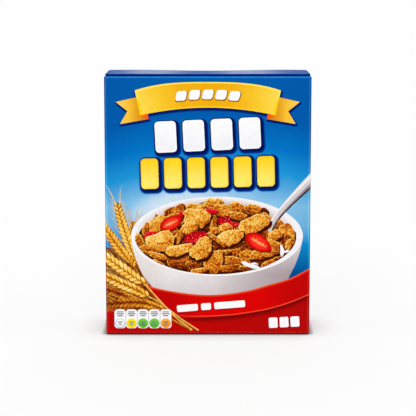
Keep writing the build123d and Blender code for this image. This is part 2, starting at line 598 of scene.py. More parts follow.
def ear(points, width, tone, draw, fade=0.0):
    """An ear of wheat from base to tip: thin awns, then kernels in a braid of two rows.

    Its tone drops by fade on the way to the tip.
    """
    line = [Vector(p) for p in smooth(points, 6)]
    length = sum((b - a).length for a, b in zip(line, line[1:]))
    count = round(length / (0.36 * width))
    pitch = length / count
    awns, rows = [], []
    for n in range(count):
        for way in (-1, 1):
            along = (n + 0.5 + 0.25 * way) * pitch
            share = along / length
            bulge = 0.62 + 0.38 * math.sin(math.pi * min(share * 0.9 + 0.12, 1.0))
            here, run = along_line(line, along)
            side = Vector((-run.y, run.x)) * way
            angle = math.degrees(math.atan2(run.y, run.x)) + way * draw.uniform(25, 35)
            centre = here + side * width * 0.2 * bulge
            size = (width * 0.66 * bulge, width * 0.34 * bulge)
            rows.append(kernel(centre, *size, angle, tone - fade * share + draw.uniform(-0.12, 0.12)))
            awns += [awn(centre, run, side, tone, draw, splay) for splay in (0.08, 0.26)]
    core = strip([tuple(p) for p in line], [width * k for k in (0.4, 0.75, 0.8, 0.7, 0.25)])
    return awns + [Shape(core, "husk")] + [shape for kernels in rows[::-1] for shape in kernels]


def stalk(points, width, tone):
    """A stalk along a smooth line, over its own shade."""
    line = smooth(points, 5)
    shade = [(s + 0.3, t - 0.7) for s, t in line]
    return [
        Shape(strip(shade, [width, width]), "husk"),
        Shape(strip(line, [width, width]), "awn", within_strip(line, width / 2, tone)),
    ]


def far_wheat():
    """The ears that stand behind the bowl."""
    draw = random.Random(5)
    shade = [(-86.0, 30.0), (-60.0, 28.0), (-44.0, 34.0), (-50.0, 52.0), (-57.0, 66.0), (-64.0, 70.0)]
    shapes = [Shape(shade + [(-85.0, 72.0)], "husk")]
    for n in range(4):
        points = [(s + 3.0 * n, t) for s, t in ((-64.0, 66.0), (-58.0, 54.0), (-50.0, 38.0))]
        shapes += stalk(points, 1.2, 0.2 + 0.07 * n)
    shapes += ear([(-62.0, 55.0), (-61.5, 74.0), (-60.0, 93.0)], 7.5, 0.32, draw)
    shapes += ear([(-57.0, 58.0), (-62.7, 72.8), (-69.2, 93.0), (-72.8, 108.0)], 10.0, 0.6, draw)
    return shapes + ear([(-60.0, 56.0), (-67.5, 66.0), (-76.0, 78.0), (-84.0, 90.0)], 10.0, 0.5, draw)


def near_wheat():
    """The ears and stalks that lie over the red band."""
    draw = random.Random(6)
    shade = [(-86.0, 20.5), (-70.0, 20.5), (-40.0, 20.0), (-37.0, 24.5), (-46.0, 33.0), (-52.0, 44.0)]
    shade += [(-60.0, 56.0), (-72.0, 66.0), (-84.5, 71.5), (-91.0, 68.0), (-86.5, 59.0), (-90.5, 51.0)]
    shade += [(-86.0, 45.0), (-91.0, 39.0), (-86.5, 32.0), (-91.0, 25.0)]
    shapes = [Shape(shade, "husk")]
    shapes += ear([(-58.0, 28.0), (-70.0, 33.0), (-90.0, 39.5)], 9.0, 0.16, draw, 0.2)
    shapes += stalk([(-40.0, 21.0), (-28.0, 12.0), (-12.9, 3.6)], 1.1, 0.3)
    shapes += ear([(-37.0, 21.0), (-52.0, 25.8), (-69.0, 26.0), (-90.0, 24.0)], 9.5, 0.4, draw, 0.5)
    shapes += stalk([(-49.6, 32.1), (-40.2, 27.3), (-30.8, 20.0), (-20.0, 11.6), (-7.5, 3.4)], 1.3, 0.55)
    shapes += ear([(-49.0, 32.0), (-57.0, 36.3), (-74.0, 44.0), (-90.0, 52.0)], 10.5, 0.62, draw)
    shapes += stalk([(-53.0, 43.3), (-49.6, 40.1), (-37.0, 25.7), (-24.5, 12.8), (-12.9, 3.6)], 1.4, 0.6)
    return shapes + ear([(-52.5, 43.0), (-61.0, 48.6), (-74.0, 58.0), (-90.0, 70.0)], 11.5, 0.7, draw)


# ---------------------------------------------------------------- the red band and the small print

print_reach = 82.5  # a little past the front panel's edges
red_upper = [(-82.5, 60.0), (-66.0, 50.5), (-49.3, 40.8), (-28.0, 35.7), (-6.0, 33.0), (13.0, 33.4)]
red_upper += [(32.6, 36.4), (48.0, 40.8), (63.3, 45.3), (72.0, 49.0), (82.5, 54.8)]
red_lower = [(-40.0, 19.5), (-22.0, 15.6), (-6.3, 15.0), (9.0, 15.5), (24.5, 16.9), (48.0, 21.0)]
red_lower += [(67.5, 26.9), (82.5, 33.4)]


def red_band(upper, lower, fade=0.0):
    """The red field below the upper line, with a bright upper line and a bright lower line."""
    over, under = smooth(upper), smooth(lower)
    floor_level = sheet_base - 1
    field, foot = (line + [(line[-1][0], floor_level), (line[0][0], floor_level)] for line in (over, under))
    upper_glow = [(s, t - 0.9) for s, t in over]
    under_shade = [(s, t - 3.2) for s, t in under]
    return [
        Shape(field, "red", lambda s, t: (s / print_reach, 0.0, 1.0)),
        Shape(strip(upper_glow, [1.8, 1.8]), "red_line", within_strip(upper_glow, 0.9, 0.6)),
        Shape(foot, "red", lambda s, t: (s / print_reach, 0.0, 0.0)),
        Shape(strip(under_shade, [fade, 6.4, 6.4]), "red_shade", within_strip(under_shade, 3.2)),
        Shape(strip(under, [fade, 1.2, 1.2, 1.2]), "red_line", within_strip(under, 0.6, 1.0)),
    ]


def bars(centre_s, top, widths, height, pitch, ink):
    """Rows of plain bars in the place of small print, each centred, from the top down."""
    return [
        Shape(block((centre_s, top - pitch * n), (width, height), height * 0.45, corner_steps=3), ink)
        for n, width in enumerate(widths)
    ]


def row_of_blocks(start, widths, gap, height, tilt):
    """White blocks side by side along a slanted line, in the place of a line of print."""
    shapes = []
    s, t = start
    slope = math.tan(math.radians(tilt))
    for width in widths:
        centre = (s + width / 2, t + (s + width / 2 - start[0]) * slope)
        below = block((centre[0] + 0.3, centre[1] - 0.4), (width + 0.6, height + 0.6), 1.4, tilt)
        face = block(centre, (width, height), 1.2, tilt)
        shapes.append(Shape(below, "red_shade"))
        shapes.append(Shape(face, "title_rim", within_box(centre, (width, height))))
        s += width + gap
    return shapes


def tabs():
    """Five small white tabs side by side, each with rows of bars and a coloured disc."""
    first, pitch, middle, disc_level = -71.1, 9.25, 13.05, 9.4
    disc_inks = ["tab_grey", "tab_yellow", "tab_green", "tab_green", "tab_orange"]
    places = [first + pitch * n for n in range(len(disc_inks))]
    shapes = [Shape(block((s, middle), (9.5, 15.9), 2.8), "hairline") for s in places]
    for s, ink in zip(places, disc_inks):
        shapes.append(Shape(block((s, middle), (8.8, 15.4), 2.5), "label"))
        shapes += bars(s, 18.7, [5.4, 6.4, 4.4], 0.9, 1.55, "small_print")
        shapes.append(disc((s, disc_level), (4.1, 4.0), ink))
        if ink == "tab_grey":
            shapes.append(Shape(oval((s, disc_level), (3.2, 3.1), 26), "label"))
        shapes += bars(s, 10.3, [4.0, 2.8], 0.9, 1.8, "small_print")
    return shapes


def front_print():
    """The front panel's print, from the farthest field to the nearest."""
    shapes = far_wheat() + ribbon()
    for row in title_rows:
        shapes += title_blocks(*row)
    shapes += bowl_with_flakes() + red_band(red_upper, red_lower) + near_wheat()
    shapes += row_of_blocks((-25.0, 21.3), [17.0, 8.0, 25.0], 2.6, 5.6, 4.5)
    shapes += row_of_blocks((49.5, 9.6), [7.2, 7.2, 7.2], 1.6, 8.6, 3.0)
    return shapes + tabs()


# ---------------------------------------------------------------- the other panels' print


def table(centre, size, rows):
    """A plain white table: a dark heading, and rows of two bars with a thin line under each."""
    s, t = centre
    top = t + size[1] / 2
    heading = top - 6.5
    shapes = [
        Shape(block(centre, size, 2.5), "label"),
        Shape(block((s, heading), (size[0] - 6, 6.5), 1.6), "navy"),
        Shape(block((s, heading), (size[0] - 16, 1.8), 0.8), "label"),
    ]
    pitch = (size[1] - 16) / rows
    first = s - size[0] / 2 + 3.5
    last = s + size[0] / 2 - 3.5
    for n in range(rows):
        level = top - 14 - pitch * (n + 0.5)
        long_bar = size[0] * (0.46, 0.36, 0.42, 0.30)[n % 4]
        shapes.append(Shape(block((first + long_bar / 2, level), (long_bar, 1.5), 0.7), "small_print"))
        shapes.append(Shape(block((last - 3.5, level), (7.0, 1.5), 0.7), "small_print"))
        shapes.append(Shape(block((s, level - pitch / 2), (size[0] - 7, 0.3), 0.1), "hairline"))
    return shapes


def right_print():
    """The right panel: a plain table, the spoon's end and the red band."""
    upper = [(-29.0, 54.8), (-10.0, 60.5), (10.0, 63.5), (29.0, 64.5)]
    lower = [(-29.0, 33.2), (-10.0, 38.5), (10.0, 41.0), (29.0, 42.0)]
    shapes = [shape.moved(-wrap) for shape in spoon()]
    shapes += table((3.0, 168.0), (42.0, 66.0), 9)
    shapes += bars(4.0, 96.0, [34.0, 38.0, 30.0, 36.0, 22.0], 1.8, 4.4, "label")
    return shapes + red_band(upper, lower, 1.2)


def left_print():
    """The left panel: rows of bars, the wheat that comes round the fold and the red band."""
    line = smooth([(-22.0, 190.0), (0.0, 192.5), (22.0, 190.0)])
    upper = [(-29.0, 64.5), (-10.0, 63.5), (10.0, 61.5), (29.0, 60.0)]
    lower = [(-29.0, 42.0), (0.0, 33.0), (29.0, 24.0)]
    shapes = [
        Shape(strip(line, [12.0, 12.0]), "ribbon_edge", within_strip(line, 6.0)),
        Shape(strip(line[1:-1], [9.8, 9.8]), "ribbon", within_box((0, 191.0), (29.0, 7.0))),
    ]
    shapes += bars(0.0, 172.0, [36.0, 40.0, 38.0, 26.0], 2.0, 5.0, "label")
    shapes += bars(0.0, 144.0, [34.0, 40.0, 36.0, 39.0, 20.0], 2.0, 5.0, "label")
    shapes += [shape.moved(wrap) for shape in far_wheat()]
    return shapes + red_band(upper, lower, 1.2) + [shape.moved(wrap) for shape in near_wheat()]


def back_print():
    """The back panel: the ribbon, a pale board of plain bars and discs, and the red band."""
    shapes = ribbon()
    for centre, size, radius, ink in (
        ((0.7, 118.0), (134.0, 96.0), 6.0, "navy"),
        ((0.0, 119.0), (134.0, 96.0), 6.0, "label"),
        ((0.0, 155.0), (110.0, 9.0), 3.0, "navy"),
        ((0.0, 155.0), (84.0, 2.6), 1.2, "label"),
    ):
        shapes.append(Shape(block(centre, size, radius), ink))
    for s, ink in ((-42.0, "tab_yellow"), (0.0, "tab_green"), (42.0, "tab_orange")):
        shapes.append(disc((s, 131.0), (11.5, 11.5), ink, 40))
        shapes += bars(s, 133.5, [14.0, 10.0], 2.2, 4.6, "label")
        shapes += bars(s, 113.0, [30.0, 34.0, 32.0, 33.0, 28.0, 34.0, 18.0], 1.7, 4.4, "small_print")
    upper = [(-82.5, 64.5), (-50.0, 46.5), (0.0, 38.0), (50.0, 46.5), (82.5, 64.5)]
    lower = [(-82.5, 42.0), (-50.0, 26.0), (0.0, 18.5), (50.0, 26.0), (82.5, 42.0)]
    shapes += red_band(upper, lower, 1.2)
    shapes += bars(0.0, 28.0, [58.0, 40.0], 2.2, 5.0, "label")
    near, far = seam_middle - seam_width / 2, seam_middle + seam_width / 2
    seam = [(near, sheet_base), (far, sheet_base), (far, sheet_top), (near, sheet_top)]
    return shapes + [Shape(seam, "raw_edge")]


# ---------------------------------------------------------------- soft light and shade in the print


def turning(outline):
    """Twice an outline's area: above 0 where it runs anticlockwise."""
    return sum(a[0] * b[1] - b[0] * a[1] for a, b in zip(outline, outline[1:] + outline[:1]))


def gap_to(points, outline):
    """How far each point is from a closed outline: below 0 inside it."""
    s, t = points[:, 0], points[:, 1]
    nearest = np.full(len(points), 1e9)
    inside = np.zeros(len(points), bool)
    for (ax, ay), (bx, by) in zip(outline, outline[1:] + outline[:1]):
        run_x, run_y = bx - ax, by - ay
        share = ((s - ax) * run_x + (t - ay) * run_y) / (run_x**2 + run_y**2 + 1e-12)
        share = share.clip(0, 1)
        nearest = np.minimum(nearest, np.hypot(s - ax - run_x * share, t - ay - run_y * share))
        if ay != by:
            inside ^= ((ay > t) != (by > t)) & (s < ax + run_x * (t - ay) / (by - ay))
    return np.where(inside, -nearest, nearest)


def falloff(gap, reach):
    """1 inside an outline, falling smoothly to 0 at reach outside it."""
    share = 1 - (gap / reach).clip(0, 1)
    return share * share * (3 - 2 * share)


def back_casters():
    """The outline that throws a soft shadow on the back's sky, as (outline, reach)."""
    return [([(x + 0.4, z - 1.2) for x, z in ribbon_band(0)], 3.2)]


def front_casters():
    """Outlines that throw a soft dark shadow on the front's sky, as (outline, reach)."""
    casters = back_casters()
    for side in (-1, 1):
        casters.append(([(side * x + 0.4, z - 1.1) for x, z in ribbon_tail], 2.6))
    for centres, size, tilt, _ in title_rows:
        for x, z in centres:
            shadow = block((x + 1.2, z - 1.3), (size[0] + 1.2, size[1] + 1.4), 3.5, tilt)
            casters.append((shadow, 3.2))
    return casters


def spaced(outline, gap):
    """The same outline with more points, none further than gap from the next."""
    points = []
    for (ax, ay), (bx, by) in zip(outline, outline[1:] + outline[:1]):
        count = max(math.ceil(math.hypot(bx - ax, by - ay) / gap), 1)
        points += [(ax + (bx - ax) * n / count, ay + (by - ay) * n / count) for n in range(count)]
    return points


def grown(outline, reach):
    """Points a little way outside an outline, so that a soft shadow has somewhere to fade."""
    points = []
    way = 1 if turning(outline) > 0 else -1
    for here, before, after in zip(outline, outline[-1:] + outline[:-1], outline[1:] + outline[:1]):
        run = Vector((after[0] - before[0], after[1] - before[1]))
        if run.length > 0:
            run.normalize()
            points.append((here[0] + way * run.y * reach, here[1] - way * run.x * reach))
    return points


# ---------------------------------------------------------------- cutting the print into a sheet


def stations(reach, flat, spacing, turns):
    """Places from -reach to reach: even over the flat part, and turns of them over each fold."""
    count = math.ceil(2 * flat / spacing)
    flat_places = [-flat + 2 * flat * n / count for n in range(count + 1)]
    fold = [flat + (reach - flat) * (n + 1) / turns for n in range(turns)]
    return [-f for f in fold[::-1]] + flat_places + fold


def levels(spacing, turns):
    """Heights up a sheet: even between its end folds, and turns of them over each fold."""
    count = math.ceil((upright_top - upright_base) / spacing)
    middle = [upright_base + (upright_top - upright_base) * n / count for n in range(count + 1)]
    fold = [(n + 1) / turns * end_fold_radius * math.pi / 2 for n in range(turns)]
    return [upright_base - f for f in fold[::-1]] + middle + [upright_top + f for f in fold]


def sheet_outline(panel):
    """The flat sheet's outline. The back's is notched where the outer flaps hinge."""
    edge, flat = panel.edge, panel.flat
    if panel.name != "back":
        return [(-edge, sheet_base), (edge, sheet_base), (edge, sheet_top), (-edge, sheet_top)]
    half = [(edge, sheet_base), (edge, sheet_top), (flat, sheet_top), (flat, sleeve_top - hinge_drop)]
    low_notch = [(-flat, sleeve_base + hinge_drop), (flat, sleeve_base + hinge_drop), (flat, sheet_base)]
    far_half = [(-flat, sleeve_top - hinge_drop), (-flat, sheet_top), (-edge, sheet_top)]
    return [(-edge, sheet_base), (-flat, sheet_base)] + low_notch + half + far_half


class Net:
    """The points, lines and fields handed to the cutter."""

    def __init__(self):
        self.points = []
        self.lines = []
        self.fields = []

    def add(self, points):
        """Adds points. Returns their numbers."""
        first = len(self.points)
        self.points += [Vector(p) for p in points]
        return list(range(first, len(self.points)))

    def field(self, points):
        """Adds a field. The cutter fills what lies to the left of its outline."""
        numbers = self.add(points)
        self.fields.append(numbers if turning(points) > 0 else numbers[::-1])

    def line(self, points):
        """Adds a line that the cutter keeps as edges."""
        numbers = self.add(points)
        self.lines += list(zip(numbers, numbers[1:]))


def panel_net(panel, shapes, casters, spacing):
    """What the cutter needs for one panel: its fields, the lines along its folds and its points."""
    net = Net()
    net.field(sheet_outline(panel))
    for shape in shapes:
        net.field(shape.points)
    across = stations(panel.edge, panel.flat, spacing, 4)
    up = levels(spacing, 5)
    fit = 0.001
    for s in across:
        if abs(s) > panel.flat - fit:
            net.line([(s, t) for t in up])
    for t in up:
        if t < upright_base + fit or t > upright_top - fit:
            net.line([(s, t) for s in across])
    if panel.name == "back":
        seam_bed = seam_width / 2 - seam_wall
        for offset in (-seam_width / 2, -seam_bed, seam_bed):
            net.line([(seam_middle + offset, t) for t in up])
    net.add([(s, t) for s in across for t in up])
    for outline, reach in casters:
        for share in (0.25, 0.5, 0.75, 1.0):
            net.add(grown(spaced(outline, 2.0), reach * share))
    return net


def cut_sheet(panel, shapes, casters, spacing):
    """Cuts shapes into a panel's flat sheet. Returns its points, its faces and each face's shape."""
    merging, least_area = 1e-4, 1e-7
    net = panel_net(panel, shapes, casters, spacing)
    found = geometry.delaunay_2d_cdt(net.points, net.lines, net.fields, 0, merging)
    points, faces, sources = found[0], found[2], found[5]
    kept, owners = [], []
    for face, source in zip(faces, sources):
        a, b, c = (points[n] for n in face)
        area = (b - a).cross(c - a)
        if 0 in source and abs(area) >= least_area:  # 0 is the sheet itself
            kept.append(face if area > 0 else face[::-1])
            owners.append(max(source) - 1)  # the field on top
    return points, kept, owners


def sky_light(panel, points):
    """The pale glow round the front's bowl, at each point."""
    if panel.name != "front":
        return np.zeros(len(points))
    glow_reach = 17.0
    glow_base, glow_rise = 84.0, 18.0
    gap = gap_to(points, oval(rim_centre, (rim_half[0] - 2, rim_half[1] + 1)))
    side = 0.5 - 0.45 * np.tanh(points[:, 0] / 40)  # stronger at the left
    above = ((points[:, 1] - glow_base) / glow_rise).clip(0, 1)
    return falloff(gap, glow_reach) * side * above


def in_scene(name, data):
    """A new object in the scene."""
    piece = bpy.data.objects.new(name, data)
    bpy.context.scene.collection.objects.link(piece)
    return piece


def new_mesh(name, places, faces, materials, slots):
    """A new mesh from places in millimetres, with each face's material number."""
    mesh = bpy.data.meshes.new(name)
    mesh.from_pydata([Vector(place) * MM for place in places], [], faces)
    for material in materials:
        mesh.materials.append(material)
    mesh.polygons.foreach_set("material_index", slots)
    return mesh


def vector_attribute(mesh, name, domain, values):
    """Three numbers for each point or corner, which the inks read."""
    mesh.attributes.new(name, "FLOAT_VECTOR", domain).data.foreach_set("vector", values)


def point_tint(panel, casters, flat):
    """Each point's glow, its shadow, and its place on a fold: 0 off it to 1 at its middle or end."""
    dark = np.zeros(len(flat))
    for outline, reach in casters:
        dark = np.maximum(dark, falloff(gap_to(flat, outline), reach))
    fold = np.maximum(
        (np.abs(flat[:, 0]) - panel.flat) / half_fold,
        np.maximum(flat[:, 1] - upright_top, upright_base - flat[:, 1]) / end_fold,
    ).clip(0, 1)
    return np.stack([sky_light(panel, flat), dark, fold], 1).astype(np.float32).ravel()


def printed_sheet(panel, shapes, casters, inks, spacing):
    """One panel as a mesh: the print cut into it, on the sky, folded into place."""
    points, faces, owners = cut_sheet(panel, shapes, casters, spacing)
    used = sorted({n for face in faces for n in face})
    number = {old: new for new, old in enumerate(used)}
    flat = np.array([points[n] for n in used], float)
    face_inks = [shapes[n].ink if n >= 0 else "sky" for n in owners]
    names = sorted(set(face_inks) | {"sky"})
    mesh = new_mesh(
        "panel_" + panel.name,
        [panel.place(s, t) for s, t in flat],
        [[number[n] for n in face] for face in faces],
        [inks[name] for name in names],
        [names.index(ink) for ink in face_inks],
    )
    art, uv = [], []
    margin = 0.003
    for face, owner in zip(faces, owners):
        for s, t in (points[n] for n in face):
            art += shapes[owner].within(s, t) if owner >= 0 else (s / print_reach, t / carton_height, 0.5)
            across = (s + panel.edge) / (2 * panel.edge)
            up = (t - sheet_base) / (sheet_top - sheet_base)
            uv += [margin + across * (1 - 2 * margin), margin + up * (1 - 2 * margin)]
    vector_attribute(mesh, "art", "CORNER", art)
    vector_attribute(mesh, "tint", "POINT", point_tint(panel, casters, flat))
    mesh.uv_layers.new(name="OFBake").data.foreach_set("uv", uv)
    mesh.shade_smooth()
    mesh.normals_split_custom_set_from_vertices([panel.normal(s, t) for s, t in flat])
    return in_scene(mesh.name, mesh)


# ---------------------------------------------------------------- the outer and inner flaps

free_edge = flap_inset - half_depth
flap_half = half_width - flap_inset
block_front = slit_reach - half_depth  # where the slit under the flap ends
fold_start = half_depth - end_fold_radius
inner_share = 0.95  # how much of the width the flaps under it fill
overlap = 0.05  # how deep the shell reaches into the flaps under it
shade_strip_width = 8.5  # the band along an outer flap's free edge, which the top flap paints darker as shade
sheen_middles = (-45.0, 34.0)  # where the top flap is rubbed glossy over the flaps below, with painted sheen
sheen_reach = 27.0


def flap_half_width(y):
    """Half the outer flap's width at y: narrowed to its hinge, and rounded at its free corners."""
    if y >= hinge_front:
        return front_flat
    if y > hinge_front - hinge_relief:
        return front_flat + (flap_half - front_flat) * ((hinge_front - y) / hinge_relief)
    lack = max(flap_corner_radius - (y + half_depth - flap_inset), 0.0)
    return flap_half - flap_corner_radius + math.sqrt(max(flap_corner_radius**2 - lack**2, 0.0))


def flap_level(x, y, sink, droop):
    """How far the outer flap lies below its highest line at (x, y)."""
    crest = half_width - side_flap_length / 2
    share = (y + half_depth) / (2 * half_depth)
    if abs(x) < crest:
        return share * sink * (1 + math.cos(math.pi * x / crest)) / 2
    return share * droop * (1 - math.cos(math.pi * (abs(x) - crest) / (half_width - crest) / 2))


def flap_rows():
    """Where an outer flap's mesh is divided from its free edge to its hinge."""
    nick = 0.02  # a step's width in the mesh
    ys = [free_edge + d for d in (0.0, 0.08, 0.25, 0.55, 0.85, flap_corner_radius, 1.6, 2.6)]
    ys += [block_front - nick, block_front, free_edge + shade_strip_width]
    ys += [-16, -12, -8, -5, -2, 0, 6, 12, 18]
    ys += [hinge_front - hinge_relief, hinge_front - nick, hinge_front, fold_start]
    turns = [math.sin(math.radians(15 * n)) for n in range(1, 7)]
    return ys + [half_depth - end_fold_radius * (1 - turn) for turn in turns]


def flap_columns():
    """Where it is divided across, as shares of its half width: evenly, with a wall at each side."""
    wall = 0.0003
    shares = [-1 + 2 * n / 56 for n in range(57)]
    return sorted(shares + [side * edge for side in (-1, 1) for edge in (inner_share, inner_share + wall)])


def flap_faces(columns, rows, strip_rows, up):
    """A closed shell's faces, round pairs of points above and below a grid, and their ink numbers."""
    faces, slots = [], []

    def quad(slot, *corners):
        """A face through four (column, row, 0 above or 1 below) corners."""
        numbers = [2 * (i * rows + j) + below for i, j, below in corners]
        faces.append(numbers if up > 0 else numbers[::-1])
        slots.append(slot)

    for i in range(columns - 1):
        for j in range(rows - 1):
            slot = 2 if j < strip_rows else 0
            quad(slot, (i, j, 0), (i + 1, j, 0), (i + 1, j + 1, 0), (i, j + 1, 0))
            quad(1, (i, j + 1, 1), (i + 1, j + 1, 1), (i + 1, j, 1), (i, j, 1))
    last = rows - 1
    for i in range(columns - 1):
        quad(1, (i, 0, 1), (i + 1, 0, 1), (i + 1, 0, 0), (i, 0, 0))
    for i in range(columns - 1):
        quad(0, (i, last, 0), (i + 1, last, 0), (i + 1, last, 1), (i, last, 1))
    last = columns - 1
    for j in range(rows - 1):
        quad(1, (0, j, 0), (0, j + 1, 0), (0, j + 1, 1), (0, j, 1))
        quad(1, (last, j, 1), (last, j + 1, 1), (last, j + 1, 0), (last, j, 0))
    return faces, slots


def outer_flap(name, outer_level, up, slit, sink, droop, inks):
    """An outer flap as one closed shell: its sheet, the flaps under it and its hinge.

    The inks are those of its face, of its cut edges and of the strip along its free edge.
    """
    ys, shares = flap_rows(), flap_columns()
    vertices, tint = [], []
    for share in shares:
        crest = sum(math.exp(-(((share * half_width - x) / sheen_reach) ** 2)) for x in sheen_middles)
        for y in ys:
            x = share * flap_half_width(y)
            drop = flap_level(x, y, sink, droop)
            past = max(y - fold_start, 0.0)
            fall = end_fold_radius - math.sqrt(max(end_fold_radius**2 - past**2, 0.0))
            under = drop + board
            if y >= hinge_front:
                under = board + slit + hinge_drop
            elif abs(share) <= inner_share and y >= block_front:
                under = max(board + slit + overlap, under)
            vertices += [(x, y, outer_level - up * level) for level in (drop + fall, under)]
            tint += [crest, 0.0, past / end_fold_radius] * 2
    strip_rows = sum(y <= free_edge + shade_strip_width for y in ys) - 1
    faces, slots = flap_faces(len(shares), len(ys), strip_rows, up)
    mesh = new_mesh(name, vertices, faces, inks, slots)
    vector_attribute(mesh, "tint", "POINT", tint)
    mesh.shade_smooth()
    mesh.set_sharp_from_angle(angle=math.radians(35))
    return in_scene(name, mesh)


def inner_flaps(ink):
    """The flaps folded in under each outer flap, which close the sleeve's two ends."""
    reach_x, reach_y = half_width - end_fold_radius, half_depth - end_fold_radius
    split = half_width - side_flap_length
    xs = [-reach_x, -split - 0.1, -split + 0.1, 0.0, split - 0.1, split + 0.1, reach_x]
    ys = [-reach_y + 2 * reach_y * n / 6 for n in range(7)]
    dip = 0.05  # how much lower it lies between the two side flaps
    vertices, faces = [], []
    for level, up in ((sleeve_top, 1), (sleeve_base, -1)):
        first = len(vertices)
        vertices += [(x, y, level - up * (dip if abs(x) < split else 0.0)) for x in xs for y in ys]
        for i in range(len(xs) - 1):
            for a in range(first + i * len(ys), first + (i + 1) * len(ys) - 1):
                face = [a, a + len(ys), a + len(ys) + 1, a + 1]
                faces.append(face if up > 0 else face[::-1])
    return in_scene("inner_flaps", new_mesh("inner_flaps", vertices, faces, [ink], [0] * len(faces)))


# ---------------------------------------------------------------- nodes


def rgb(red, green, blue):
    """A colour as it is seen, 0 to 255, turned into linear light."""
    return tuple(
        c / 255 / 12.92 if c <= 10 else ((c / 255 + 0.055) / 1.055) ** 2.4 for c in (red, green, blue)
    ) + (1.0,)


class Nodes:
    """A material's or a world's nodes, built one by one."""

    def __init__(self, owner):
        owner.use_nodes = True
        self.tree = owner.node_tree
        self.tree.nodes.clear()

    def add(self, kind, inputs=(), **settings):
        """A new node. Its inputs are (name or number, socket or value) pairs."""
        node = self.tree.nodes.new(kind)
        for name, value in settings.items():
            setattr(node, name, value)
        for name, value in inputs:
            if isinstance(value, bpy.types.NodeSocket):
                self.tree.links.new(value, node.inputs[name])
            else:
                node.inputs[name].default_value = value
        return node

    def math(self, operation, a, b=0.0, clamp=False):
        """The result of a math node."""
        inputs = [(0, a), (1, b)]
        return self.add("ShaderNodeMath", inputs, operation=operation, use_clamp=clamp).outputs[0]

    def times(self, a, b):
        """The product of two values."""
        return self.math("MULTIPLY", a, b)

    def seen_directly(self):
        """1 for rays from the camera, and for those in gloss or glass, which show the backdrop too."""
        path = self.add("ShaderNodeLightPath").outputs
        glossy = self.math("MAXIMUM", path["Is Glossy Ray"], path["Is Transmission Ray"])
        return self.math("MAXIMUM", path["Is Camera Ray"], glossy)


class Ink(Nodes):
    """One printed material."""

    def __init__(self, name):
        self.material = bpy.data.materials.new(name)
        super().__init__(self.material)
        scaled = [(0, self.add("ShaderNodeTexCoord").outputs["Object"]), ("Scale", 1 / MM)]
        self.place = self.add("ShaderNodeVectorMath", scaled, operation="SCALE").outputs[0]

    def sum(self, *parts):
        """The sum of any number of values."""
        total = parts[0]
        for part in parts[1:]:
            total = self.math("ADD", total, part)
        return total

    def between(self, value, first, last, low=0.0, high=1.0):
        """value carried smoothly from first..last to low..high."""
        limits = [("From Min", first), ("From Max", last), ("To Min", low), ("To Max", high)]
        node = self.add("ShaderNodeMapRange", [("Value", value)] + limits, interpolation_type="SMOOTHSTEP")
        return node.outputs["Result"]

    def away(self, u, v):
        """How far (u, v) is from the origin."""
        return self.math("SQRT", self.sum(self.times(u, u), self.times(v, v)))

    def mix(self, factor, a, b, blend="MIX"):
        """Two colours mixed."""
        inputs = [(0, factor), (6, a), (7, b)]
        return self.add("ShaderNodeMix", inputs, data_type="RGBA", blend_type=blend).outputs[2]

    def ramp(self, factor, stops):
        """Colours along a factor, as (place, (red, green, blue)) pairs."""
        node = self.add("ShaderNodeValToRGB", [("Fac", factor)])
        elements = node.color_ramp.elements
        while len(elements) < len(stops):
            elements.new(0.5)
        for element, (place, _) in zip(elements, stops):
            element.position = place
        for element, (_, colour) in zip(elements, stops):
            element.color = rgb(*colour)
        return node.outputs["Color"]

    def parts(self, vector):
        """A vector's three numbers."""
        return self.add("ShaderNodeSeparateXYZ", [(0, vector)]).outputs[:3]

    def attribute(self, name):
        """The three numbers of one of the mesh's vector attributes."""
        return self.parts(self.add("ShaderNodeAttribute", attribute_name=name).outputs["Vector"])

    def noise(self, scale, detail=3.0, distortion=0.0):
        """Noise about 0.5, whose features are about 1/scale millimetres."""
        inputs = [("Vector", self.place), ("Scale", scale), ("Detail", detail), ("Distortion", distortion)]
        return self.add("ShaderNodeTexNoise", inputs).outputs["Fac"]

    def drift(self, scale, detail=3.0, low=0.0, high=1.0):
        """Noise that reaches from low to high."""
        return self.between(self.noise(scale, detail), 0.3, 0.7, low, high)

    def cells(self, scale):
        """How far a point is from the nearest cell's middle, for seeds and specks."""
        inputs = [("Vector", self.place), ("Scale", scale)]
        return self.add("ShaderNodeTexVoronoi", inputs).outputs["Distance"]

    def finish(self, colour, gloss=0.02, roughness=0.42):
        """Printed board under a thin varnish, with a fine tooth.

        It is mottled. Its folds have painted highlight and rubbing at first, painted shade further round.
        """
        fold = self.attribute("tint")[2]
        mottle = self.drift(0.25, 4, 0.975, 1.02)
        grey = self.add("ShaderNodeCombineXYZ", [(n, mottle) for n in range(3)]).outputs[0]
        printed = self.mix(1.0, colour, grey, "MULTIPLY")
        # painted highlight: a fold's first half is screened lighter, as where it would catch the light
        turn = self.times(self.between(fold, 0.0, 0.1), self.between(fold, 0.68, 0.5))
        lit = self.mix(self.times(turn, 0.9), printed, self.mix(1.0, printed, printed, "SCREEN"))
        # pale rubbing, laid only over that painted highlight
        rub_and_sheen = self.times(self.between(self.noise(0.9, 4), 0.40, 0.70, 0.0, 0.06), turn)
        lit_and_rubbed = self.mix(rub_and_sheen, lit, rgb(225, 228, 232))
        # painted shade: the fold is darkened further round, as where it turns from the light
        crease_shade = self.between(fold, 0.56, 0.8, 0.0, 0.75)
        fold_shaded = self.mix(crease_shade, lit_and_rubbed, self.mix(1.0, lit_and_rubbed, lit_and_rubbed, "MULTIPLY"))
        tooth = [("Strength", 0.05), ("Distance", 0.0001), ("Height", self.noise(1.6, 3))]
        inputs = [
            ("Base Color", fold_shaded),
            ("Roughness", self.sum(roughness, self.drift(0.6, 2, -0.04, 0.04))),
            ("Normal", self.add("ShaderNodeBump", tooth).outputs["Normal"]),
            ("Specular IOR Level", gloss),
        ]
        shader = self.add("ShaderNodeBsdfPrincipled", inputs)
        self.add("ShaderNodeOutputMaterial", [("Surface", shader.outputs[0])])
        return self.material


# ---------------------------------------------------------------- plain inks, as tables

